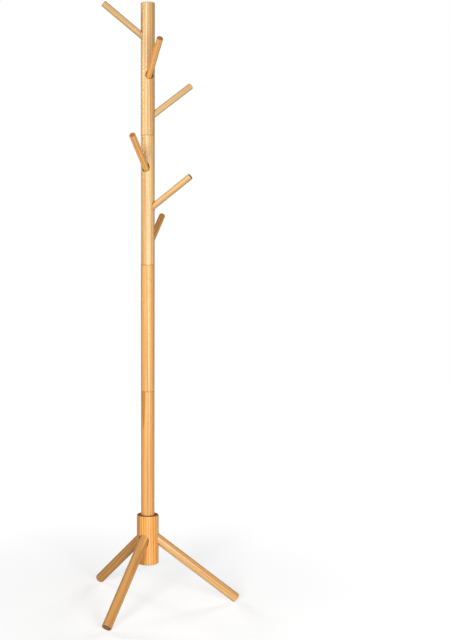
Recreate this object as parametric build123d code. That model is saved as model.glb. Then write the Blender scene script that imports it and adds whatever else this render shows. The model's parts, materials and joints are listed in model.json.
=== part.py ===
from build123d import *

import math
import os

# A free-standing wooden coat rack that screws together without tools.
#
# A round hub stands on three splayed dowel legs. Four pole sections of one length stack on it, each
# with a steel stud in its bottom end that screws into a threaded insert in the piece below. The two
# upper sections are the same turned piece: each holds three pegs, a quarter turn and one step apart.
# Legs and pegs end in studs of their own, and screw into inserts in the floors of slanted pockets.
#
# Units are millimetres and degrees. The pole's axis is Z, the floor is z = 0, and the right leg
# points along +X. Azimuths turn anticlockwise from +X, seen from above.

# Pole
SECTION_LENGTH = 371.0
POLE_RADIUS = 20.0
SEAM_CHAMFER = 1.2  # breaks the ends that meet at a seam
TOP_ROUNDING = 2.5  # rounds the free top end

# Hub
HUB_TOP = 275.0
HUB_HEIGHT = 148.0
HUB_RADIUS = 32.5
HUB_ROUNDING = 2.5

# Legs, which fall from the hub
LEG_SLOPE = 38.5  # from the horizontal
LEG_RADIUS = 14.5
LEG_REACH = 343.0  # from the hub's axis to the centre of the foot, along the leg
LEG_SEAT = 18.0  # from the hub's axis to the centre of the pocket's floor, level
LEG_POCKET_RADIUS = 16.5
FOOT_ROUNDING = 2.0
LEG_AZIMUTHS = {"right_leg": 0.0, "rear_leg": 120.0, "front_leg": 240.0}

# Pegs, which rise from the pole
PEG_SLOPE = 37.0
PEG_RADIUS = 9.0
PEG_REACH = 162.0  # from the pole's axis to the centre of the tip, along the peg
PEG_SEAT = 9.0
PEG_POCKET_RADIUS = 11.5
PEG_ROUNDING = 1.5
PEG_DROP = 105.0  # from a section's top to where the first peg's axis meets the pole's axis
PEG_STEP = 110.0
PEG_TURN = 90.0
PEGS_PER_SECTION = 3

BUTT_CHAMFER = 0.6  # breaks the hidden end of each leg and peg

# Peg sections from the top down, with the azimuth of each one's first peg
FIRST_PEG_AZIMUTHS = {"upper_peg_section": -169.5, "lower_peg_section": -114.0}

# Sections from the bottom up
SECTIONS = ("lower_pole_section", "middle_pole_section", "lower_peg_section", "upper_peg_section")

# Studs and inserts: M8 in the sections and legs, M6 in the pegs
RUNNING_GAP = 0.05  # radial, between a stud and an insert's bore, and round an insert's flange
WOOD_BITE = 0.3  # radial, how far a coarse thread cuts into the wood round it
DRILL_ALLOWANCE = 1.0  # how much deeper each blind hole is than what it holds
WOOD_PITCH = 2.5  # coarse thread that holds in wood
THREAD_DEPTH_RATIO = 0.54  # thread depth over pitch, machine thread
WOOD_THREAD_DEPTH = 0.8
STUD_COLLAR = 1.0  # plain length between a stud's two threads

M8 = {"radius": 4.0, "pitch": 1.25, "insert_radius": 6.0, "flange_radius": 8.5, "flange": 1.5}
M6 = {"radius": 3.0, "pitch": 1.0, "insert_radius": 4.4, "flange_radius": 6.5, "flange": 1.2}

SECTION_STUD = {"size": M8, "wood": 25.0, "machine": 18.0, "insert": 20.0}
LEG_STUD = {"size": M8, "wood": 25.0, "machine": 11.0, "insert": 12.0}
PEG_STUD = {"size": M6, "wood": 22.0, "machine": 10.0, "insert": 11.0}


# Shapes about +Z


def turned(points):
    """A solid of revolution about Z from a closed outline of (radius, height) points."""
    outline = Plane.XZ * make_face(Polyline(*points, close=True))
    return revolve(outline, axis=Axis.Z)


def cylinder(radius, bottom, top):
    """A cylinder on Z between two heights."""
    return Pos(0, 0, bottom) * Cylinder(
        radius, top - bottom, align=(Align.CENTER, Align.CENTER, Align.MIN)
    )


def end_edge(shape, top):
    """The round edge at a plain cylinder's top or bottom."""
    return shape.edges().sort_by(Axis.Z)[-1 if top else 0]


def ridges(start, length, pitch, major, minor):
    """Outline points of a thread drawn as rings, from start upwards."""
    count = int(length // pitch)
    margin = (length - count * pitch) / 2
    points = [(minor, start)]
    for n in range(count):
        root = start + margin + n * pitch
        points += [(minor, root), (major, root + pitch / 2)]
    points += [(minor, start + margin + count * pitch), (minor, start + length)]
    return [p for n, p in enumerate(points) if n == 0 or p != points[n - 1]]


def stud(kind):
    """A double-ended stud: machine thread below z = 0, collar and coarse wood thread above it."""
    size = kind["size"]
    major = size["radius"]
    machine_minor = major - THREAD_DEPTH_RATIO * size["pitch"]
    wood_minor = major - WOOD_THREAD_DEPTH
    points = [(0, -kind["machine"])]
    points += ridges(-kind["machine"], kind["machine"], size["pitch"], major, machine_minor)
    points += [(major, 0), (major, STUD_COLLAR)]
    points += ridges(STUD_COLLAR, kind["wood"] - STUD_COLLAR, WOOD_PITCH, major, wood_minor)
    points += [(0, kind["wood"])]
    return turned(points)


def insert(kind):
    """A threaded insert hanging down from z = 0: a flange, a coarse outer thread and a plain bore."""
    size = kind["size"]
    bore = size["radius"] + RUNNING_GAP
    outer = size["insert_radius"]
    flange = size["flange"]
    points = [(bore, -kind["insert"])]
    points += ridges(
        -kind["insert"], kind["insert"] - flange, WOOD_PITCH, outer, outer - WOOD_THREAD_DEPTH
    )
    points += [(size["flange_radius"], -flange), (size["flange_radius"], 0), (bore, 0)]
    return turned(points)


def insert_hole(kind):
    """What is drilled away below z = 0 for an insert, its flange and the stud that passes through it."""
    size = kind["size"]
    hole = cylinder(size["insert_radius"] - WOOD_BITE, -kind["insert"], 0)
    hole += cylinder(size["flange_radius"] + RUNNING_GAP, -size["flange"], 0)
    depth = max(kind["insert"], kind["machine"]) + DRILL_ALLOWANCE
    return hole + cylinder(size["radius"] + RUNNING_GAP, -depth, 0)


def stud_hole(kind):
    """What is drilled away above z = 0 for the wood end of a stud."""
    return cylinder(kind["size"]["radius"] - WOOD_BITE, 0, kind["wood"] + DRILL_ALLOWANCE)


def dowel(radius, length, rounding, kind):
    """A leg or a peg along +Z: a chamfered butt at z = 0 with a stud hole, and a rounded free end."""
    rod = cylinder(radius, 0, length)
    rod = fillet(end_edge(rod, True), rounding)
    rod = chamfer(end_edge(rod, False), BUTT_CHAMFER)
    return rod - stud_hole(kind)


# Places


def slanted(azimuth, height, seat, slope):
    """The frame of a pocket's floor: +Z leaves the pole's axis at a slope above the horizontal."""
    turn = math.radians(azimuth)
    tilt = math.radians(slope)
    outwards = Vector(math.cos(turn), math.sin(turn), 0)
    direction = outwards * math.cos(tilt) + Vector(0, 0, math.sin(tilt))
    origin = Vector(0, 0, height) + direction * (seat / math.cos(tilt))
    sideways = Vector(-math.sin(turn), math.cos(turn), 0)
    return Plane(origin=origin, x_dir=sideways, z_dir=direction).location


def pocket(place, radius, kind, clear):
    """A flat-floored slanted pocket, open for the length clear, with its insert hole below."""
    return place * (cylinder(radius, 0, clear) + insert_hole(kind))


def leg_axis_height():
    """Where the legs' axes meet the hub's axis, so that the rounded feet just touch z = 0."""
    tilt = math.radians(LEG_SLOPE)
    edge = (LEG_RADIUS - FOOT_ROUNDING) * math.cos(tilt)
    foot_centre = edge + FOOT_ROUNDING * (1 - math.sin(tilt))
    return foot_centre + LEG_REACH * math.sin(tilt)


def section_bottom(name):
    """The height of a section's bottom face."""
    return HUB_TOP + SECTIONS.index(name) * SECTION_LENGTH


def leg_places():
    """Each leg's name and the frame of its pocket's floor."""
    height = leg_axis_height()
    return {name: slanted(a, height, LEG_SEAT, -LEG_SLOPE) for name, a in LEG_AZIMUTHS.items()}


def peg_places(section):
    """Each peg's name and the frame of its pocket's floor, for one peg section, from the top down."""
    order = list(FIRST_PEG_AZIMUTHS).index(section)
    top = section_bottom(section) + SECTION_LENGTH
    places = {}
    for n in range(PEGS_PER_SECTION):
        azimuth = FIRST_PEG_AZIMUTHS[section] + n * PEG_TURN
        height = top - PEG_DROP - n * PEG_STEP
        name = f"peg_{order * PEGS_PER_SECTION + n + 1}"
        places[name] = slanted(azimuth, height, PEG_SEAT, PEG_SLOPE)
    return places


# Wooden pieces


def base_hub():
    """The thick round block that takes the three legs and the lowest section."""
    hub = cylinder(HUB_RADIUS, HUB_TOP - HUB_HEIGHT, HUB_TOP)
    hub = fillet([end_edge(hub, True), end_edge(hub, False)], HUB_ROUNDING)
    hub -= Pos(0, 0, HUB_TOP) * insert_hole(SECTION_STUD)
    for place in leg_places().values():
        hub -= pocket(place, LEG_POCKET_RADIUS, LEG_STUD, 2 * HUB_RADIUS)
    return hub


def leg():
    """One leg, butt at its pocket's floor."""
    length = LEG_REACH - LEG_SEAT / math.cos(math.radians(LEG_SLOPE))
    return dowel(LEG_RADIUS, length, FOOT_ROUNDING, LEG_STUD)


def peg():
    """One peg, butt at its pocket's floor."""
    length = PEG_REACH - PEG_SEAT / math.cos(math.radians(PEG_SLOPE))
    return dowel(PEG_RADIUS, length, PEG_ROUNDING, PEG_STUD)


def pole_section(name):
    """One section of the pole: a stud hole in its bottom, and an insert hole or a rounded top."""
    bottom = section_bottom(name)
    top = bottom + SECTION_LENGTH
    rod = cylinder(POLE_RADIUS, bottom, top)
    rod = chamfer(end_edge(rod, False), SEAM_CHAMFER)
    if name == SECTIONS[-1]:
        rod = fillet(end_edge(rod, True), TOP_ROUNDING)
    else:
        rod = chamfer(end_edge(rod, True), SEAM_CHAMFER)
        rod -= Pos(0, 0, top) * insert_hole(SECTION_STUD)
    rod -= Pos(0, 0, bottom) * stud_hole(SECTION_STUD)
    if name in FIRST_PEG_AZIMUTHS:
        for place in peg_places(name).values():
            rod -= pocket(place, PEG_POCKET_RADIUS, PEG_STUD, 2 * POLE_RADIUS)
    return rod


# Assembly


def all_nodes():
    """Every piece in its place, by node name."""
    nodes = {"base_hub": base_hub(), "hub_insert": Pos(0, 0, HUB_TOP) * insert(SECTION_STUD)}
    for name, place in leg_places().items():
        nodes[name] = place * leg()
        nodes[f"{name}_stud"] = place * stud(LEG_STUD)
        nodes[f"{name}_insert"] = place * insert(LEG_STUD)
    for name in SECTIONS:
        bottom = section_bottom(name)
        nodes[name] = pole_section(name)
        nodes[f"{name}_stud"] = Pos(0, 0, bottom) * stud(SECTION_STUD)
        if name != SECTIONS[-1]:
            nodes[f"{name}_insert"] = Pos(0, 0, bottom + SECTION_LENGTH) * insert(SECTION_STUD)
    for section in FIRST_PEG_AZIMUTHS:
        for name, place in peg_places(section).items():
            nodes[name] = place * peg()
            nodes[f"{name}_stud"] = place * stud(PEG_STUD)
            nodes[f"{name}_insert"] = place * insert(PEG_STUD)
    return nodes


def main():
    os.makedirs("parts", exist_ok=True)
    for name, shape in all_nodes().items():
        export_step(shape, f"parts/{name}.step")


main()
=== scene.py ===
"""Finishes a free-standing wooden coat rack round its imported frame.

The frame gives every place and size. Each wooden piece is turned, drilled and eased here, stands
for its node in the frame, and gets a solid wood grain that runs along it. The studs and inserts
stay as the frame has them and get a zinc finish.
"""

import json
import math

import bmesh
import bpy
from bpy.props import FloatProperty, FloatVectorProperty, IntProperty, PointerProperty
from mathutils import Matrix, Vector


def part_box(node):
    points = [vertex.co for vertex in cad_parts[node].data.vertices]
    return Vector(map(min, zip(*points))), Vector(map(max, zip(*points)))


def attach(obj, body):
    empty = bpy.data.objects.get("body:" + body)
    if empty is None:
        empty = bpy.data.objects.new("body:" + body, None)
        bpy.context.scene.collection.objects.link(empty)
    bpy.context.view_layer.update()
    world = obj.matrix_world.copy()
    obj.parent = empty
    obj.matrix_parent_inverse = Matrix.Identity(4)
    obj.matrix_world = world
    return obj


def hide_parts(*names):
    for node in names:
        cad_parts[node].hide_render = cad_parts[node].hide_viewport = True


bl_info = {
    "name": "Coat Rack",
    "version": (1, 0, 0),
    "blender": (4, 5, 0),
    "location": "View3D > Sidebar > Coat Rack",
    "description": "Builds a wooden coat rack with screwed sections, pegs and legs",
    "category": "Add Mesh",
}

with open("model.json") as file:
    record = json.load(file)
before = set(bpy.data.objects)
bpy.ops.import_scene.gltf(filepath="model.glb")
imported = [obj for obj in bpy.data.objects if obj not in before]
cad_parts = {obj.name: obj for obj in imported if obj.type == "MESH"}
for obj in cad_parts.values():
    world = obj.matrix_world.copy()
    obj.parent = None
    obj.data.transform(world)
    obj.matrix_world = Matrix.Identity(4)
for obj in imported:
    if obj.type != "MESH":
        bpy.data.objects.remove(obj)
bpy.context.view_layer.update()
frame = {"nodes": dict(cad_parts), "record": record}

MM = 0.001

LEGS = ("right_leg", "rear_leg", "front_leg")
PLAIN_SECTIONS = ("lower_pole_section", "middle_pole_section")
PEG_SECTIONS = {"upper_peg_section": (1, 2, 3), "lower_peg_section": (4, 5, 6)}
TOP_SECTION = "upper_peg_section"
PEG_COUNT = sum(len(numbers) for numbers in PEG_SECTIONS.values())

# Grain seeds: the first of each kind of piece, and the rest count up from it
HUB_SEED, LEG_SEED, PLAIN_SEED, PEG_SECTION_SEED, PEG_SEED = 2, 5, 9, 12, 15

# Each piece is cut from its own board: its tone, from pale (0) to warm (1), and its brightness.
# Pegs 2, 4 and 6 are made brighter as painted light, and the rear leg darker and redder as painted
# shade
BOARD_TONES_AND_PAINTED_LIGHT = {
    "base_hub": (1.1, 0.98),
    "right_leg": (0.6, 0.8),
    "rear_leg": (1.1, 0.76),
    "front_leg": (0.8, 0.8),
    "lower_pole_section": (1.0, 0.84),
    "middle_pole_section": (0.85, 0.84),
    "lower_peg_section": (0.2, 0.8),
    "upper_peg_section": (0.45, 0.78),
    "peg_1": (0.1, 0.76),
    "peg_2": (0.9, 1.05),
    "peg_3": (0.1, 0.76),
    "peg_4": (0.9, 1.05),
    "peg_5": (0.35, 0.78),
    "peg_6": (1.1, 1.0),
}

# Metal that the wood leaves room for, in millimetres
HARDWARE = {
    "section": dict(stud=4.0, wood=25.0, machine=18.0, insert=20.0, body=6.0, flange=8.5, lip=1.5),
    "leg": dict(stud=4.0, wood=25.0, machine=11.0, insert=12.0, body=6.0, flange=8.5, lip=1.5),
    "peg": dict(stud=3.0, wood=22.0, machine=10.0, insert=11.0, body=4.4, flange=6.5, lip=1.2),
}
HARDWARE_GAP = 0.05  # radial, where metal slides past metal or a flange sits in the wood
THREAD_BITE = 0.3  # radial, where a coarse thread cuts into the wood
DRILL_ALLOWANCE = 1.0  # how much deeper a hole is than the metal in it
DRILL_RUN_OUT = 2.0  # how far a drill for the pole's end reaches above the wood
ROUND_STEPS, SLIGHT_STEPS = 5, 2  # faces across a rounded end, and across a small easing
DIVISIONS = {"hub": 12, "leg": 10, "section": 24, "peg": 8}  # rings along each kind of bar
PARTING = 0.02 * MM  # keeps the flat ends of two sections from lying in one plane


# Where things are


def body_of(node):
    """The name of the body that a node belongs to."""
    bodies = frame["record"]["behaviour"]["bodies"]
    return next(name for name, nodes in bodies.items() if node in nodes)


def mount(name):
    """A mount of the record, by name."""
    return next(m for m in frame["record"]["mounts"] if m["name"] == name)


def upright(node):
    """Radius, bottom and top of a node that stands on the pole's axis."""
    low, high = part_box(node)
    return round(max(high[0] - low[0], high[1] - low[1]) / 2, 4), low[2], high[2]


def stood_along(axis, point):
    """The matrix that stands Z along an axis, with its origin at a point."""
    return Matrix.Translation(point) @ axis.to_track_quat("Z", "Y").to_matrix().to_4x4()


def peg_shape(number, sizes):
    """Place of a peg's butt, with Z along the peg, and the peg's radius and length."""
    hanger = mount(f"peg_{number}_hanger")
    axis = Vector(hanger["axis"])
    straight = hanger["dims"]["length_mm"] * MM
    butt = Vector(hanger["pos_m"]) - axis * (straight / 2 + sizes.butt_chamfer)
    length = straight + sizes.butt_chamfer + sizes.peg_rounding
    return stood_along(axis, butt), hanger["dims"]["r_mm"] * MM, length


def leg_shape(order, sizes):
    """Place of a leg's butt, with Z along the leg, and the leg's radius and length."""
    low, high = (Vector(corner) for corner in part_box("right_leg"))
    rise, run = math.sin(math.radians(sizes.leg_slope)), math.cos(math.radians(sizes.leg_slope))
    radius = round((high.y - low.y) / 2, 4)
    flat = radius - sizes.foot_rounding
    reach = (high.x - sizes.foot_rounding - flat * rise) / run + sizes.foot_rounding
    height = low.z + sizes.foot_rounding + flat * run + (reach - sizes.foot_rounding) * rise
    seat = (low.x + (radius - sizes.butt_chamfer) * rise) / run
    place = stood_along(Vector((run, 0, -rise)), Vector((run * seat, 0, height - rise * seat)))
    turn = Matrix.Rotation(2 * math.pi * order / len(LEGS), 4, "Z")
    return turn @ place, radius, reach - seat


# Shapes


def round_bar(radius, bottom, top, sides, divisions):
    """A closed bar about Z between two heights, divided along its length."""
    bar = bmesh.new()
    bmesh.ops.create_cone(
        bar, cap_ends=True, segments=sides, radius1=radius, radius2=radius, depth=top - bottom
    )
    bmesh.ops.translate(bar, verts=bar.verts, vec=(0, 0, (bottom + top) / 2))
    for n in range(1, divisions):
        height = bottom + (top - bottom) * n / divisions
        everything = bar.verts[:] + bar.edges[:] + bar.faces[:]
        bmesh.ops.bisect_plane(bar, geom=everything, plane_co=(0, 0, height), plane_no=(0, 0, 1))
    return bar


def ease_end(bar, height, width, segments):
    """Rounds the edge of a bar's end."""
    rim = [e for e in bar.edges if all(abs(v.co.z - height) < 0.01 * MM for v in e.verts)]
    bevel(bar, rim, width, segments)


def ease_pockets(bar, radius, bottom, top, width, segments):
    """Rounds the edges where drilled pockets break through a bar's round side."""
    bmesh.ops.remove_doubles(bar, verts=bar.verts, dist=0.03 * MM)
    margin = 6 * MM  # keeps clear of the bar's own ends

    def breaks_through(edge):
        outside = all(v.co.xy.length > radius - 0.05 * MM for v in edge.verts)
        inland = all(bottom + margin < v.co.z < top - margin for v in edge.verts)
        return outside and inland and len(edge.link_faces) == 2 and edge.calc_face_angle() > 0.35

    bevel(bar, [e for e in bar.edges if breaks_through(e)], width, segments)


def bevel(bar, edges, width, segments):
    """Bevels edges to a round."""
    bmesh.ops.bevel(
        bar,
        geom=edges,
        offset=width,
        offset_type="OFFSET",
        affect="EDGES",
        segments=segments,
        profile=0.5,
        material=-1,
        clamp_overlap=True,
    )


def turned_drill(steps, place, sides):
    """A closed stepped drill through (radius, height) steps in millimetres, from its tip up."""
    drill = bmesh.new()
    outline = [drill.verts.new((radius * MM, 0, height * MM)) for radius, height in steps]
    outline += [drill.edges.new(pair) for pair in zip(outline, outline[1:])]
    bmesh.ops.spin(
        drill,
        geom=outline,
        cent=(0, 0, 0),
        axis=(0, 0, 1),
        angle=2 * math.pi,
        steps=sides,
        use_merge=True,
    )
    bmesh.ops.remove_doubles(drill, verts=drill.verts, dist=0.001 * MM)
    bmesh.ops.recalc_face_normals(drill, faces=drill.faces)
    bmesh.ops.transform(drill, matrix=place, verts=drill.verts)
    return drill


def insert_drill(kind, place, mouth_radius, clear, sides):
    """The drill for an insert, the stud that passes through it, and an open mouth above it."""
    metal = HARDWARE[kind]
    stud = metal["stud"] + HARDWARE_GAP
    body = metal["body"] - THREAD_BITE
    flange = metal["flange"] + HARDWARE_GAP
    depth = max(metal["insert"], metal["machine"]) + DRILL_ALLOWANCE
    steps = [(0, -depth), (stud, -depth), (stud, -metal["insert"]), (body, -metal["insert"])]
    steps += [(body, -metal["lip"]), (flange, -metal["lip"]), (flange, 0)]
    steps += [(mouth_radius, 0), (mouth_radius, clear), (0, clear)]
    return turned_drill(steps, place, sides)


def crown_drill(top, sides):
    """The drill for the insert in the top end of the hub or of a section."""
    crown = Matrix.Translation((0, 0, top))
    return insert_drill("section", crown, HARDWARE["section"]["flange"], DRILL_RUN_OUT, sides)


def stud_drill(kind, place, sides):
    """The drill for the end of a stud that stays in the wood, from just below the wood's face."""
    metal = HARDWARE[kind]
    radius, depth = metal["stud"] - THREAD_BITE, metal["wood"] + DRILL_ALLOWANCE
    return turned_drill([(0, -1), (radius, -1), (radius, depth), (0, depth)], place, sides)


def as_object(name, shape):
    """An object in the scene from a bmesh, which is freed."""
    mesh = bpy.data.meshes.new(name)
    shape.to_mesh(mesh)
    shape.free()
    made = bpy.data.objects.new(name, mesh)
    bpy.context.scene.collection.objects.link(made)
    return made


def drilled(bar, drills):
    """The bar with the drills' shapes taken out of it."""
    wood = as_object("blank", bar)
    tools = [as_object("drill", drill) for drill in drills]
    for tool in tools:
        cut = wood.modifiers.new("cut", "BOOLEAN")
        cut.operation = "DIFFERENCE"
        cut.solver = "EXACT"
        cut.object = tool
    result = bmesh.new()
    result.from_object(wood, bpy.context.evaluated_depsgraph_get())
    for used in (wood, *tools):
        mesh = used.data
        bpy.data.objects.remove(used)
        bpy.data.meshes.remove(mesh)
    if not result.faces:
        raise RuntimeError("drilling left no wood")
    return result


def finish_piece(node, shape, material):
    """Makes the piece that stands for a node: smooth sides, crisp edges, its own wood."""
    piece = as_object(f"{node}_wood", shape)
    piece.data.materials.append(material)
    piece.data.shade_smooth()
    piece.data.set_sharp_from_angle(angle=math.radians(40))
    shading = piece.modifiers.new("even_shading", "WEIGHTED_NORMAL")
    shading.keep_sharp = True
    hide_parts(node)
    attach(piece, body_of(node))
    return piece


# Shader building


def add(tree, kind, inputs=None, **options):
    """Adds a shader node, sets its options, and sets or links its inputs."""
    made = tree.nodes.new(kind)
    for option, value in options.items():
        setattr(made, option, value)
    for socket, value in (inputs or {}).items():
        if isinstance(value, bpy.types.NodeSocket):
            tree.links.new(value, made.inputs[socket])
        else:
            made.inputs[socket].default_value = value
    return made


def maths(tree, operation, *values):
    """The result of a Math node."""
    return add(tree, "ShaderNodeMath", dict(enumerate(values)), operation=operation).outputs[0]


def vector_maths(tree, operation, *values, output="Vector"):
    """The result of a Vector Math node."""
    made = add(tree, "ShaderNodeVectorMath", dict(enumerate(values)), operation=operation)
    return made.outputs[output]


def eased(tree, value, start, end, low=0.0, high=1.0):
    """A value carried smoothly from low at start to high at end, and held outside them."""
    inputs = {"Value": value, "From Min": start, "From Max": end, "To Min": low, "To Max": high}
    return add(tree, "ShaderNodeMapRange", inputs, interpolation_type="SMOOTHSTEP").outputs[0]


def mixed(tree, amount, below, above):
    """One colour laid over another by an amount."""
    inputs = {0: amount, 6: below, 7: above}
    return add(tree, "ShaderNodeMix", inputs, data_type="RGBA").outputs[2]


def noise(tree, vector, scale, detail=2.0, roughness=0.5):
    """A noise value from 0 to 1."""
    inputs = {"Vector": vector, "Scale": scale, "Detail": detail, "Roughness": roughness}
    return add(tree, "ShaderNodeTexNoise", inputs).outputs[0]


def new_group(name, inputs, outputs):
    """An empty node group with named inputs and float outputs, and its input and output nodes."""
    tree = bpy.data.node_groups.new(name, "ShaderNodeTree")
    for label, kind, default in inputs:
        socket = tree.interface.new_socket(label, in_out="INPUT", socket_type=kind)
        if default is not None:
            socket.default_value = default
    for label in outputs:
        tree.interface.new_socket(label, in_out="OUTPUT", socket_type="NodeSocketFloat")
    return tree, tree.nodes.new("NodeGroupInput").outputs, tree.nodes.new("NodeGroupOutput").inputs


def leave(tree, sockets, **results):
    """Links a group's results to its outputs. An underscore in a name stands for a space."""
    for label, value in results.items():
        tree.links.new(value, sockets[label.replace("_", " ")])


def grain_group():
    """Grain through a solid block of wood, with Z along it: rings, streaks, fibres and pores."""
    tree, given, out = new_group(
        "wood_grain",
        [
            ("Vector", "NodeSocketVector", None),
            ("Seed", "NodeSocketFloat", 1.0),
            ("Ring Width", "NodeSocketFloat", 4 * MM),
        ],
        ["Rings", "Streaks", "Fibres", "Pores"],
    )
    seed = given["Seed"]
    pith = {
        "X": maths(tree, "MULTIPLY_ADD", seed, 5 * MM, 30 * MM),
        "Y": maths(tree, "MULTIPLY", seed, 9 * MM),
        "Z": maths(tree, "MULTIPLY", seed, 1.7),
    }
    offset = add(tree, "ShaderNodeCombineXYZ", pith).outputs[0]
    block = vector_maths(tree, "ADD", given["Vector"], offset)

    drawn = vector_maths(tree, "MULTIPLY", block, (1, 1, 0.1))
    wander = noise(tree, drawn, 14)
    across = vector_maths(tree, "MULTIPLY", block, (1, 1, 0))
    out_from_pith = vector_maths(tree, "LENGTH", across, output="Value")
    bent = maths(tree, "MULTIPLY_ADD", wander, 12 * MM, out_from_pith)
    phase = maths(tree, "FRACT", maths(tree, "DIVIDE", bent, given["Ring Width"]))
    late = eased(tree, phase, 0.3, 0.9)
    rings = maths(tree, "MULTIPLY", late, eased(tree, phase, 0.93, 1.0, 1.0, 0.0))

    long_vector = vector_maths(tree, "MULTIPLY", block, (1, 1, 0.02))
    streaks = eased(tree, noise(tree, long_vector, 220, 3.0, 0.6), 0.36, 0.66)
    fine_vector = vector_maths(tree, "MULTIPLY", block, (1, 1, 0.035))
    fibres = noise(tree, fine_vector, 1300)

    cells = add(
        tree,
        "ShaderNodeTexVoronoi",
        {"Vector": vector_maths(tree, "MULTIPLY", block, (1, 1, 0.07)), "Scale": 620.0},
    )
    vessel = eased(tree, cells.outputs["Distance"], 0.1, 0.22, 1.0, 0.0)
    some = add(tree, "ShaderNodeSeparateColor", {0: cells.outputs["Color"]}).outputs[0]
    pores = maths(tree, "MULTIPLY", vessel, maths(tree, "GREATER_THAN", some, 0.5))
    leave(tree, out, Rings=rings, Streaks=streaks, Fibres=fibres, Pores=pores)
    return tree


def surface_group():
    """Where a turned piece is cut across its grain, bored, grooved at its ends, and rubbed, as
    masks; the bore and groove masks carry painted shade.
    """
    tree, given, out = new_group(
        "cut_and_rubbed_wood",
        [
            ("Vector", "NodeSocketVector", None),
            ("Normal", "NodeSocketVector", None),
            ("Axis", "NodeSocketVector", None),
            ("Radius", "NodeSocketFloat", 20 * MM),
            ("Length", "NodeSocketFloat", 370 * MM),
        ],
        ["End Grain", "Bore", "Groove", "Rim"],
    )
    facing = vector_maths(tree, "DOT_PRODUCT", given["Normal"], given["Axis"], output="Value")
    end = eased(tree, maths(tree, "ABSOLUTE", facing), 0.6, 0.95)
    across = vector_maths(tree, "MULTIPLY", given["Vector"], (1, 1, 0))
    reach = vector_maths(tree, "LENGTH", across, output="Value")
    depth = maths(tree, "SUBTRACT", given["Radius"], reach)
    inside = eased(tree, depth, 0.3 * MM, 1.2 * MM)
    # Bore mask: faces inside the round side, where raw wood and painted shade go in the holes.
    bore_raw_and_painted_shade = maths(tree, "MULTIPLY", inside, maths(tree, "SUBTRACT", 1.0, end))
    along = add(tree, "ShaderNodeSeparateXYZ", {0: given["Vector"]}).outputs["Z"]
    from_top = maths(tree, "SUBTRACT", given["Length"], along)
    # Groove mask: the chamfers at each end, where painted shade darkens the seams between
    # sections.
    eased_edge = maths(tree, "SUBTRACT", eased(tree, depth, 0.1 * MM, 0.4 * MM), end)
    bottom = eased(tree, along, 1.0 * MM, 1.6 * MM, 1.0, 0.0)
    top = eased(tree, from_top, 0.6 * MM, 1.0 * MM, 1.0, 0.0)
    both = maths(tree, "ADD", bottom, top)
    seam_shade_mask = maths(tree, "MULTIPLY", both, maths(tree, "MAXIMUM", eased_edge, 0.0))
    near_end = eased(tree, from_top, 0.5 * MM, 3 * MM, 1.0, 0.0)
    near_side = eased(tree, depth, 0.5 * MM, 3 * MM, 1.0, 0.0)
    patchy = eased(tree, noise(tree, given["Vector"], 260), 0.3, 0.6)
    rim = maths(tree, "MULTIPLY", maths(tree, "MULTIPLY", near_end, near_side), patchy)
    leave(tree, out, End_Grain=end, Bore=bore_raw_and_painted_shade, Groove=seam_shade_mask, Rim=rim)
    return tree


def shared_group(name, build):
    """A node group that is built once and then shared."""
    return bpy.data.node_groups.get(name) or build()


def shade_of(colour, amount):
    """A colour made darker, or lighter with an amount over 1, as four values."""
    return (*[min(0.95, value * amount) for value in colour], 1.0)


def piece_colours(node):
    """The light and dark grain colours of the board that a piece is cut from, with some pieces
    brightened or darkened as painted light and shade.
    """
    finish = bpy.context.scene.rack_finish
    warmth, brightness = BOARD_TONES_AND_PAINTED_LIGHT[node]
    pairs = ((finish.pale_light, finish.warm_light), (finish.pale_dark, finish.warm_dark))
    blends = (Vector(pale).lerp(Vector(warm), warmth) for pale, warm in pairs)
    return [shade_of(blend, brightness)[:3] for blend in blends]


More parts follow.
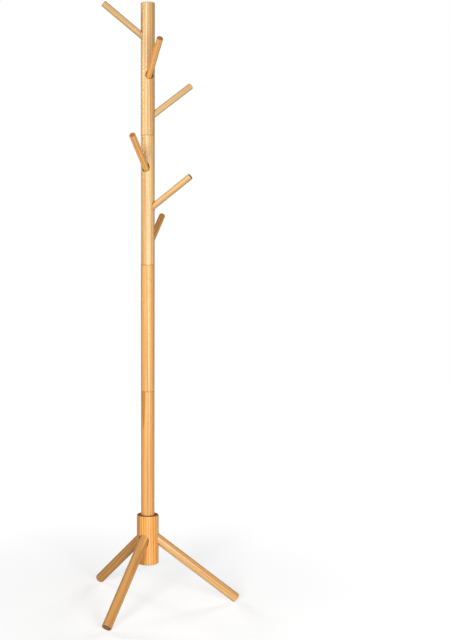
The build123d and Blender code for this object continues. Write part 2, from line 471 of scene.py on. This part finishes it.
def wood(node, place, radius, length, seed):
    """Lacquered solid wood for one turned piece, with its grain along the piece, and painted shade
    in its bores, seam grooves and on its end faces.
    """
    finish = bpy.context.scene.rack_finish
    light, dark = piece_colours(node)
    material = bpy.data.materials.new(f"{node}_wood")
    material.use_nodes = True
    tree = material.node_tree
    shader = tree.nodes["Principled BSDF"]
    point = add(tree, "ShaderNodeTexCoord").outputs
    mapping = {
        "Vector": point["Object"],
        "Location": place.translation,
        "Rotation": place.to_euler("XYZ"),
    }
    local = add(tree, "ShaderNodeMapping", mapping, vector_type="TEXTURE").outputs[0]

    grain = add(tree, "ShaderNodeGroup", node_tree=shared_group("wood_grain", grain_group))
    tree.links.new(local, grain.inputs["Vector"])
    grain.inputs["Seed"].default_value = seed
    grain.inputs["Ring Width"].default_value = finish.ring_width
    cut = add(
        tree, "ShaderNodeGroup", node_tree=shared_group("cut_and_rubbed_wood", surface_group)
    )
    tree.links.new(local, cut.inputs["Vector"])
    tree.links.new(point["Normal"], cut.inputs["Normal"])
    cut.inputs["Axis"].default_value = place.col[2].xyz
    cut.inputs["Radius"].default_value = radius
    cut.inputs["Length"].default_value = length
    rings, streaks, fibres, pores = (
        grain.outputs[label] for label in ("Rings", "Streaks", "Fibres", "Pores")
    )

    tone = maths(tree, "MULTIPLY", rings, 0.6)
    tone = maths(tree, "MULTIPLY_ADD", streaks, 0.35, tone)
    tone = maths(tree, "MULTIPLY_ADD", fibres, 0.15, tone)
    colour = mixed(tree, tone, shade_of(light, 1), shade_of(dark, 1))
    colour = mixed(tree, maths(tree, "MULTIPLY", pores, 0.55), colour, shade_of(dark, 0.45))
    rubbed = maths(tree, "MULTIPLY", cut.outputs["Rim"], 0.4)
    colour = mixed(tree, rubbed, colour, shade_of(light, 1.15))
    # End faces are darkened: partly the darker end grain, partly painted shade on the cut ends.
    ends = maths(tree, "MULTIPLY", cut.outputs["End Grain"], 0.85)
    colour = mixed(tree, ends, colour, shade_of(dark, 0.45))
    # Seam chamfers go nearly black as painted shade between the sections.
    painted_seam_shade = maths(tree, "MULTIPLY", cut.outputs["Groove"], 0.9)
    colour = mixed(tree, painted_seam_shade, colour, shade_of(dark, 0.2))
    # Bores and pockets go nearly black: partly the darker raw wood, partly painted shade in the
    # holes.
    raw_and_shaded_bores = maths(tree, "MULTIPLY", cut.outputs["Bore"], 0.95)
    colour = mixed(tree, raw_and_shaded_bores, colour, shade_of(dark, 0.12))
    tree.links.new(colour, shader.inputs["Base Color"])

    dull = maths(tree, "MULTIPLY_ADD", fibres, 0.14, finish.roughness)
    dull = maths(tree, "MULTIPLY_ADD", cut.outputs["End Grain"], 0.2, dull)
    tree.links.new(dull, shader.inputs["Roughness"])
    height = maths(tree, "MULTIPLY_ADD", pores, -0.8, fibres)
    bump = {"Height": height, "Strength": 0.2, "Distance": 0.12 * MM}
    tree.links.new(add(tree, "ShaderNodeBump", bump).outputs[0], shader.inputs["Normal"])
    shader.inputs["Coat Weight"].default_value = finish.lacquer
    shader.inputs["Coat Roughness"].default_value = finish.lacquer_roughness
    shader.inputs["Specular IOR Level"].default_value = 0.4
    return material


def zinc():
    """Bright zinc plate, slightly clouded."""
    material = bpy.data.materials.new("zinc_plate")
    material.use_nodes = True
    tree = material.node_tree
    shader = tree.nodes["Principled BSDF"]
    place = add(tree, "ShaderNodeTexCoord").outputs["Object"]
    cloud = eased(tree, noise(tree, place, 420, 3.0), 0.35, 0.7)
    colour = mixed(tree, cloud, (0.68, 0.69, 0.66, 1), (0.5, 0.52, 0.52, 1))
    tree.links.new(colour, shader.inputs["Base Color"])
    dull = maths(tree, "MULTIPLY_ADD", cloud, 0.15, 0.28)
    tree.links.new(dull, shader.inputs["Roughness"])
    scratches = noise(tree, vector_maths(tree, "MULTIPLY", place, (1, 1, 6)), 2600)
    bump = {"Height": scratches, "Strength": 0.2, "Distance": 0.02 * MM}
    tree.links.new(add(tree, "ShaderNodeBump", bump).outputs[0], shader.inputs["Normal"])
    shader.inputs["Metallic"].default_value = 1.0
    return material


# Settings


def length_property(name, description, millimetres):
    """A length setting, given in millimetres and kept in metres."""
    return FloatProperty(
        name=name,
        description=description,
        default=millimetres * MM,
        min=0,
        precision=4,
        subtype="DISTANCE",
        unit="LENGTH",
    )


def colour_property(name, description, colour):
    """A colour setting."""
    return FloatVectorProperty(
        name=name, description=description, default=colour, min=0, max=1, subtype="COLOR"
    )


class RackSizes(bpy.types.PropertyGroup):
    """Small shapes that the frame doesn't state."""

    sides: IntProperty(
        name="Sides", description="Flats round a bar or a drill", default=128, min=24
    )
    seam_chamfer: length_property("Seam", "Easing of the ends that meet at a seam", 1.2)
    top_rounding: length_property("Top", "Rounding of the pole's free top", 2.5)
    hub_rounding: length_property("Hub", "Rounding of the hub's two rims", 2.5)
    foot_rounding: length_property("Foot", "Rounding of each foot", 2.0)
    peg_rounding: length_property("Peg tip", "Rounding of each peg's tip", 1.5)
    butt_chamfer: length_property("Butt", "Chamfer of the hidden end of each leg and peg", 0.6)
    leg_slope: FloatProperty(
        name="Leg slope", description="Slope of the legs from the floor, in degrees", default=38.5
    )
    leg_pocket: length_property("Leg pocket", "Radius of each leg's pocket", 16.5)
    peg_pocket: length_property("Peg pocket", "Radius of each peg's pocket", 11.5)
    pocket_easing: length_property("Pocket rim", "Rounding of the pockets' rims", 0.5)


class RackFinish(bpy.types.PropertyGroup):
    """Wood colours and lacquer."""

    pale_light: colour_property("Pale, light", "Light grain of pale wood", (0.92, 0.64, 0.30))
    pale_dark: colour_property("Pale, dark", "Dark grain of pale wood", (0.66, 0.36, 0.13))
    warm_light: colour_property("Warm, light", "Light grain of warm wood", (0.92, 0.49, 0.14))
    warm_dark: colour_property("Warm, dark", "Dark grain of warm wood", (0.60, 0.22, 0.045))
    ring_width: length_property("Rings", "Width of one growth ring", 7)
    roughness: FloatProperty(name="Roughness", description="Of the bare wood", default=0.42)
    lacquer: FloatProperty(name="Lacquer", description="Weight of the clear coat", default=0.5)
    lacquer_roughness: FloatProperty(
        name="Lacquer roughness", description="Of the clear coat", default=0.19
    )


class RackStage(bpy.types.PropertyGroup):
    """Camera, lights and floor."""

    camera_place: FloatVectorProperty(
        name="Camera",
        description="Where the camera stands",
        default=(-0.2672, -3.388, 1.1316),
        subtype="TRANSLATION",
        unit="LENGTH",
    )
    camera_pitch: FloatProperty(
        name="Pitch", description="Camera's angle below the horizon, in degrees", default=6.52
    )
    camera_turn: FloatProperty(
        name="Turn", description="Camera's turn from the Y axis, in degrees", default=-4.48
    )
    lens: FloatProperty(name="Lens", description="Focal length in millimetres", default=65.5)
    shift: FloatVectorProperty(
        name="Shift", description="Lens shift that sets the rack beside the middle", size=2,
        default=(0.1216, 0.0599),
    )
    key_power: FloatProperty(name="Key", description="Power of the left light", default=1.6)
    side_power: FloatProperty(
        name="Side", description="Power of the light on the upper pole's left side", default=1.6
    )
    fill_power: FloatProperty(name="Fill", description="Power of the low right light", default=22)
    front_power: FloatProperty(
        name="Front", description="Strength of the even light from the front left", default=1.7
    )
    back_power: FloatProperty(
        name="Back", description="Strength of each even light from behind", default=1.1
    )
    surround: FloatProperty(
        name="Surround", description="Brightness of the room as the rack sees it", default=0.09
    )


# Operators


class CoatRackOperator:
    """What every operator here shares."""

    bl_options = {"REGISTER", "UNDO"}


class COATRACK_OT_hub(CoatRackOperator, bpy.types.Operator):
    """Turns the hub and drills its three pockets and its top"""

    bl_idname = "coatrack.hub"
    bl_label = "Hub"

    def execute(self, context):
        sizes = context.scene.rack_sizes
        radius, bottom, top = upright("base_hub")
        hub = round_bar(radius, bottom, top, sizes.sides, DIVISIONS["hub"])
        for end in (bottom, top):
            ease_end(hub, end, sizes.hub_rounding, ROUND_STEPS)
        drills = [crown_drill(top, sizes.sides)]
        mouth, clear = sizes.leg_pocket / MM, 2 * radius / MM
        for order in range(len(LEGS)):
            place = leg_shape(order, sizes)[0]
            drills.append(insert_drill("leg", place, mouth, clear, sizes.sides))
        hub = drilled(hub, drills)
        ease_pockets(hub, radius, bottom, top, sizes.pocket_easing, SLIGHT_STEPS)
        place = Matrix.Translation((0, 0, bottom))
        material = wood("base_hub", place, radius, top - bottom, HUB_SEED)
        finish_piece("base_hub", hub, material)
        return {"FINISHED"}


class COATRACK_OT_legs(CoatRackOperator, bpy.types.Operator):
    """Turns the three legs"""

    bl_idname = "coatrack.legs"
    bl_label = "Legs"

    def execute(self, context):
        sizes = context.scene.rack_sizes
        for order, name in enumerate(LEGS):
            place, radius, length = leg_shape(order, sizes)
            leg = round_bar(radius, 0, length, sizes.sides, DIVISIONS["leg"])
            ease_end(leg, 0, sizes.butt_chamfer, 1)
            ease_end(leg, length, sizes.foot_rounding, ROUND_STEPS)
            leg = drilled(leg, [stud_drill("leg", Matrix(), sizes.sides)])
            bmesh.ops.transform(leg, matrix=place, verts=leg.verts)
            material = wood(name, place, radius, length, LEG_SEED + order)
            finish_piece(name, leg, material)
        return {"FINISHED"}


def turned_section(name, sizes, pockets=()):
    """A section of the pole with its ends eased, drilled for its stud, its insert and its pegs."""
    radius, bottom, top = upright(name)
    bottom += PARTING
    section = round_bar(radius, bottom, top, sizes.sides, DIVISIONS["section"])
    ease_end(section, bottom, sizes.seam_chamfer, SLIGHT_STEPS)
    drills = [stud_drill("section", Matrix.Translation((0, 0, bottom)), sizes.sides)]
    if name == TOP_SECTION:
        ease_end(section, top, sizes.top_rounding, ROUND_STEPS)
    else:
        ease_end(section, top, sizes.seam_chamfer, SLIGHT_STEPS)
        drills.append(crown_drill(top, sizes.sides))
    section = drilled(section, drills + list(pockets))
    if pockets:
        ease_pockets(section, radius, bottom, top, sizes.pocket_easing, SLIGHT_STEPS)
    return section, Matrix.Translation((0, 0, bottom)), radius, top - bottom


class COATRACK_OT_plain_sections(CoatRackOperator, bpy.types.Operator):
    """Turns the two sections of the pole that carry no pegs"""

    bl_idname = "coatrack.plain_sections"
    bl_label = "Plain sections"

    def execute(self, context):
        sizes = context.scene.rack_sizes
        for order, name in enumerate(PLAIN_SECTIONS):
            section, *shape = turned_section(name, sizes)
            material = wood(name, *shape, PLAIN_SEED + order)
            finish_piece(name, section, material)
        return {"FINISHED"}


class COATRACK_OT_peg_sections(CoatRackOperator, bpy.types.Operator):
    """Turns the two sections of the pole that carry pegs, and drills their pockets"""

    bl_idname = "coatrack.peg_sections"
    bl_label = "Peg sections"

    def execute(self, context):
        sizes = context.scene.rack_sizes
        mouth = sizes.peg_pocket / MM
        for order, (name, numbers) in enumerate(PEG_SECTIONS.items()):
            clear = 2 * upright(name)[0] / MM
            places = [peg_shape(number, sizes)[0] for number in numbers]
            pockets = [insert_drill("peg", p, mouth, clear, sizes.sides) for p in places]
            section, *shape = turned_section(name, sizes, pockets)
            material = wood(name, *shape, PEG_SECTION_SEED + order)
            finish_piece(name, section, material)
        return {"FINISHED"}


class COATRACK_OT_pegs(CoatRackOperator, bpy.types.Operator):
    """Turns the six pegs"""

    bl_idname = "coatrack.pegs"
    bl_label = "Pegs"

    def execute(self, context):
        sizes = context.scene.rack_sizes
        for number in range(1, PEG_COUNT + 1):
            place, radius, length = peg_shape(number, sizes)
            peg = round_bar(radius, 0, length, sizes.sides, DIVISIONS["peg"])
            ease_end(peg, 0, sizes.butt_chamfer, 1)
            ease_end(peg, length, sizes.peg_rounding, ROUND_STEPS)
            peg = drilled(peg, [stud_drill("peg", Matrix(), sizes.sides)])
            bmesh.ops.transform(peg, matrix=place, verts=peg.verts)
            name = f"peg_{number}"
            material = wood(name, place, radius, length, PEG_SEED + number - 1)
            finish_piece(name, peg, material)
        return {"FINISHED"}


class COATRACK_OT_hardware(CoatRackOperator, bpy.types.Operator):
    """Gives the studs and inserts their zinc finish"""

    bl_idname = "coatrack.hardware"
    bl_label = "Studs and inserts"

    def execute(self, context):
        plate = zinc()
        for name, made in frame["nodes"].items():
            if name.endswith(("_stud", "_insert")):
                for slot in made.material_slots:
                    slot.material = plate
        return {"FINISHED"}


def floor_material():
    """A pale matt floor that fades to plain white far from the rack."""
    material = bpy.data.materials.new("pale_floor")
    material.use_nodes = True
    tree = material.node_tree
    tree.nodes.remove(tree.nodes["Principled BSDF"])
    place = add(tree, "ShaderNodeTexCoord").outputs["Object"]
    away = vector_maths(tree, "LENGTH", place, output="Value")
    matt = add(tree, "ShaderNodeBsdfDiffuse", {"Color": (0.6, 0.6, 0.6, 1)}).outputs[0]
    seen = add(tree, "ShaderNodeLightPath").outputs["Is Camera Ray"]
    evened = maths(tree, "MULTIPLY", seen, eased(tree, away, 0.25, 1.6, 0.57, 0.76))
    lift = add(tree, "ShaderNodeEmission", {"Strength": evened}).outputs[0]
    near = add(tree, "ShaderNodeAddShader", {0: matt, 1: lift}).outputs[0]
    white = add(tree, "ShaderNodeEmission", {"Strength": seen}).outputs[0]
    blend = {0: eased(tree, away, 3.5, 7.0), 1: near, 2: white}
    made = add(tree, "ShaderNodeMixShader", blend).outputs[0]
    tree.links.new(made, tree.nodes["Material Output"].inputs["Surface"])
    return material


def area_light(name, place, aim, power, size, spread):
    """A soft light of a width and height at a place, turned towards a point, with its spread."""
    data = bpy.data.lights.new(name, "AREA")
    data.energy, data.shape = power, "RECTANGLE"
    data.size, data.size_y = size
    data.spread = math.radians(spread)
    light = bpy.data.objects.new(name, data)
    bpy.context.scene.collection.objects.link(light)
    light.location = place
    light.rotation_euler = (Vector(aim) - Vector(place)).to_track_quat("-Z", "Y").to_euler()


def even_light(name, tilt, strength, angle, shines=True):
    """A light from far away, tilted from straight down and turned about Z, in degrees."""
    data = bpy.data.lights.new(name, "SUN")
    data.energy, data.angle = strength, math.radians(angle)
    light = bpy.data.objects.new(name, data)
    bpy.context.scene.collection.objects.link(light)
    light.rotation_euler = (math.radians(tilt[0]), 0, math.radians(tilt[1]))
    light.visible_glossy = shines


class COATRACK_OT_stage(CoatRackOperator, bpy.types.Operator):
    """Sets up the floor, the lights and the camera"""

    bl_idname = "coatrack.stage"
    bl_label = "Stage"

    def execute(self, context):
        scene, stage = context.scene, context.scene.rack_stage
        ground = bmesh.new()
        bmesh.ops.create_circle(ground, cap_ends=True, radius=12, segments=96)
        floor = as_object("floor", ground)
        floor.data.materials.append(floor_material())

        world = bpy.data.worlds.new("studio")
        scene.world = world
        world.use_nodes = True
        tree = world.node_tree
        seen = add(tree, "ShaderNodeLightPath").outputs["Is Camera Ray"]
        strength = maths(tree, "MULTIPLY_ADD", seen, 1 - stage.surround, stage.surround)
        tree.nodes["Background"].inputs["Color"].default_value = (1, 1, 1, 1)
        tree.links.new(strength, tree.nodes["Background"].inputs["Strength"])
        area_light("key", (-1.2, -2.2, 2.1), (0, 0, 1.55), stage.key_power, (0.3, 1.3), 50)
        area_light("side", (-2.3, -0.3, 1.9), (0, 0, 1.5), stage.side_power, (0.4, 1.2), 50)
        area_light("fill", (0.76, -2.49, 0.8), (0, 0, 0.5), stage.fill_power, (0.8, 1.3), 120)
        even_light("front", (73, -23), stage.front_power, 14)
        even_light("back right", (72, 138), stage.back_power, 20, shines=False)
        even_light("back left", (72, 217), stage.back_power, 20, shines=False)

        data = bpy.data.cameras.new("camera")
        data.lens, data.sensor_width = stage.lens, 36
        data.shift_x, data.shift_y = stage.shift
        camera = bpy.data.objects.new("camera", data)
        scene.collection.objects.link(camera)
        camera.location = stage.camera_place
        camera.rotation_euler = (
            math.radians(90 - stage.camera_pitch),
            0,
            math.radians(stage.camera_turn),
        )
        scene.camera = camera
        scene.view_settings.view_transform = "Standard"
        return {"FINISHED"}


class COATRACK_PT_panel(bpy.types.Panel):
    """Lists the rack's settings and operators"""

    bl_label = "Coat Rack"
    bl_idname = "COATRACK_PT_panel"
    bl_space_type = "VIEW_3D"
    bl_region_type = "UI"
    bl_category = "Coat Rack"

    def draw(self, context):
        for name in SETTINGS:
            settings = getattr(context.scene, name)
            box = self.layout.box()
            for setting in settings.bl_rna.properties:
                if setting.identifier not in ("rna_type", "name"):
                    box.prop(settings, setting.identifier)
        for operator in OPERATORS:
            self.layout.operator(operator.bl_idname)


SETTINGS = {"rack_sizes": RackSizes, "rack_finish": RackFinish, "rack_stage": RackStage}
OPERATORS = (
    COATRACK_OT_hub,
    COATRACK_OT_legs,
    COATRACK_OT_plain_sections,
    COATRACK_OT_peg_sections,
    COATRACK_OT_pegs,
    COATRACK_OT_hardware,
    COATRACK_OT_stage,
)
CLASSES = (*SETTINGS.values(), *OPERATORS, COATRACK_PT_panel)


def register():
    for made in CLASSES:
        bpy.utils.register_class(made)
    for name, group in SETTINGS.items():
        setattr(bpy.types.Scene, name, PointerProperty(type=group))


def unregister():
    for name in SETTINGS:
        delattr(bpy.types.Scene, name)
    for made in reversed(CLASSES):
        bpy.utils.unregister_class(made)


def main():
    """Builds the whole rack."""
    register()
    for operator in OPERATORS:
        family, name = operator.bl_idname.split(".")
        getattr(getattr(bpy.ops, family), name)()


if __name__ == "__main__":
    main()
